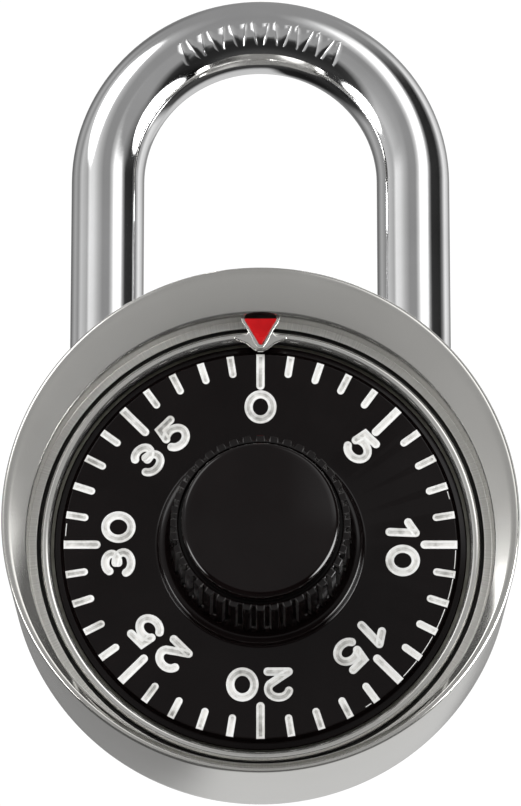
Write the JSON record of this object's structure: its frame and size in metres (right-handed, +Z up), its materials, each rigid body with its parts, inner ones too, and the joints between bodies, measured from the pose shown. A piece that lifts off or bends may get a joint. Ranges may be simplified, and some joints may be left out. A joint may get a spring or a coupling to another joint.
{
  "type": "combination padlock",
  "caption": "Round cased padlock with a recessed numbered dial, ribbed knob, red pointer, U-shaped shackle and a wheel-pack combination mechanism inside.",
  "frame": {"origin": "on the dial's axis, at the flat back face of the case", "axes": "+Z up towards the shackle's bow, +Y out of the back face, so the dial faces -Y; +X is to the right of someone facing the dial"},
  "size_m": [0.048, 0.0289, 0.0777],
  "materials": {
    "shell_stainless": "satin nickel-grey stainless sheet, polished along its edges",
    "shackle_chrome": "bright plated hardened steel",
    "dial_black": "glossy black moulding",
    "index_red": "gloss red enamel",
    "plated_steel": "zinc-plated pressed steel",
    "bright_steel": "turned bright steel",
    "brass": "stamped brass",
    "spring_steel": "oiled spring steel"
  },
  "bodies": {
    "case": {"case_shell": "shell_stainless", "back_cover": "shell_stainless", "inner_case": "plated_steel", "index_mark": "index_red", "mechanism_plate": "plated_steel", "plate_pillar_1": "bright_steel", "plate_pillar_2": "bright_steel", "plate_pillar_3": "bright_steel", "toe_guide": "plated_steel", "heel_guide": "plated_steel", "spindle_bushing": "brass", "dial_spring": "spring_steel", "wheel_post": "bright_steel", "wheel_clip": "spring_steel", "wheel_spacer": "bright_steel", "wheel_spring": "spring_steel", "lever_pivot_pin": "bright_steel", "lever_spring": "spring_steel"},
    "dial": {"dial": "dial_black", "knob_cap": "dial_black", "dial_spindle": "bright_steel", "spindle_retaining_ring": "spring_steel", "drive_cam": "brass"},
    "wheel_2": {"wheel_2": "brass"},
    "wheel_1": {"wheel_1": "brass"},
    "shackle": {"shackle": "shackle_chrome", "heel_retaining_ring": "spring_steel"},
    "locking_lever": {"locking_lever": "plated_steel", "latch_pin": "bright_steel", "latch_spring": "spring_steel"},
    "latch": {"latch_bolt": "bright_steel"}
  },
  "joints": [
    {"name": "dial_turn", "type": "hinge", "parent": "case", "child": "dial", "pos_m": [0, -0.0178, 0], "axis": [0, -1, 0], "continuous": true},
    {"name": "wheel_2_turn", "type": "hinge", "parent": "case", "child": "wheel_2", "pos_m": [0, -0.0108, 0], "axis": [0, -1, 0], "continuous": true},
    {"name": "wheel_1_turn", "type": "hinge", "parent": "case", "child": "wheel_1", "pos_m": [0, -0.008, 0], "axis": [0, -1, 0], "continuous": true},
    {"name": "shackle_lift", "type": "slide", "parent": "case", "child": "shackle", "axis": [0, 0, 1], "range_m": [0, 0.017]},
    {"name": "lever_turn", "type": "hinge", "parent": "case", "child": "locking_lever", "pos_m": [-0.0135, -0.0045, -0.011], "axis": [0, 1, 0], "range_deg": [0, 1.5], "stiffness_Nm_per_rad": 0.05, "springref_deg": -5.73},
    {"name": "latch_turn", "type": "hinge", "parent": "locking_lever", "child": "latch", "pos_m": [-0.0074, -0.0095, 0.0164], "axis": [0, -1, 0], "range_deg": [0, 19.6]}
  ],
  "couplings": [
    {"joint": "wheel_2_turn", "follows": "dial_turn", "ratio": 1},
    {"joint": "wheel_1_turn", "follows": "dial_turn", "ratio": 1},
    {"joint": "latch_turn", "follows": "shackle_lift", "rad_per_m": 20}
  ]
}
